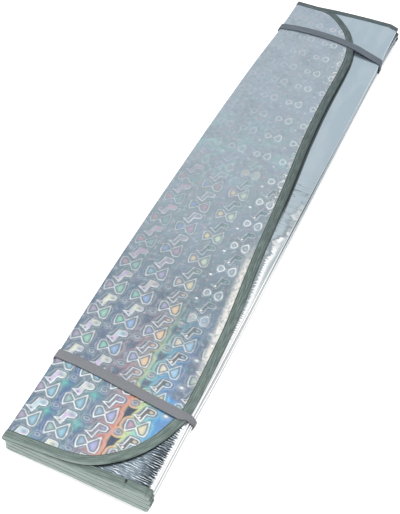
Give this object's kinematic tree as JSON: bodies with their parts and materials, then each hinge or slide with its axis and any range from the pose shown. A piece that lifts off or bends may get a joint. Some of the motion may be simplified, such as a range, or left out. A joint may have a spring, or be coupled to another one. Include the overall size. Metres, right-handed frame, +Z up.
{
  "type": "windscreen sunshade",
  "caption": "Folded car windscreen sunshade: patterned reflective foil sheet with a bound edge and rounded ends, held flat by elastic bands.",
  "frame": {"origin": "centre of the folded stack's footprint, on its lowest face", "axes": "+X across the stack towards its rounded outer edge, +Y along it towards the longer far end, +Z up out of the top panel"},
  "size_m": [0.1378, 0.8162, 0.0262],
  "materials": {
    "foil_sheet": "bright laminated foil film, patterned on one face",
    "binding_tape": "ribbed woven tape",
    "elastic": "woven elastic"
  },
  "bodies": {
    "root": {"folded_sheet": "foil_sheet", "edge_binding": "binding_tape", "near_elastic_band": "elastic", "far_elastic_band": "elastic"}
  },
  "joints": []
}
